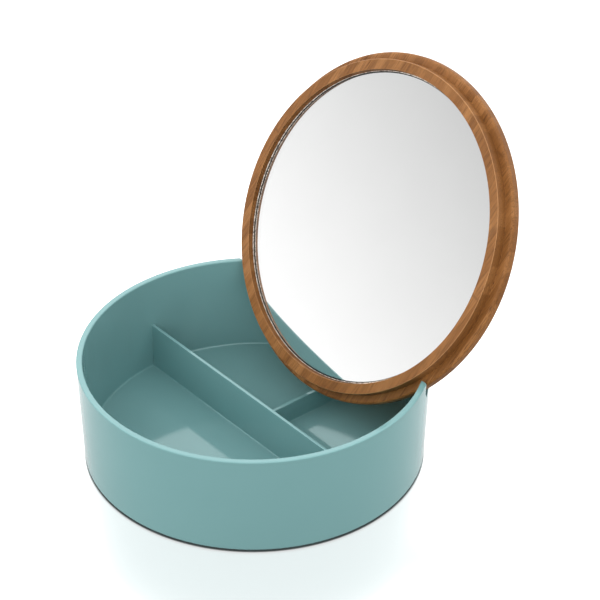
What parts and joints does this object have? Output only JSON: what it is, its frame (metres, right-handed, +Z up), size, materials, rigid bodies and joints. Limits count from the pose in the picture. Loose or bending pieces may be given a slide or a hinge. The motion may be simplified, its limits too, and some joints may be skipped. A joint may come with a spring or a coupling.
{
  "type": "vanity box with mirror",
  "caption": "Round divided vanity bowl in gloss plastic with a bamboo lid that lifts off and stands in rim slots as a leaning table mirror.",
  "frame": {"origin": "centre of the standing ring, in the plane of the table", "axes": "+Z up along the bowl's axis, -Y the way the mirror faces, +X to the right seen from the front"},
  "size_m": [0.1818, 0.2173, 0.1801],
  "materials": {
    "bowl_plastic": "gloss moulded, sea green",
    "bamboo": "milled, satin oiled caramel bamboo",
    "mirror": "back-silvered glass with a ground edge",
    "foam_tape": "closed-cell foam tape, both sides adhesive"
  },
  "bodies": {
    "box": {"box_body": "bowl_plastic"},
    "lid": {"lid_board": "bamboo", "mirror_glass": "mirror", "mirror_tape": "foam_tape"}
  },
  "joints": [
    {"name": "lid_lift", "type": "slide", "parent": "box", "child": "lid", "axis": [0, 0.4894, 0.8721], "range_m": [0, 0.06]}
  ]
}
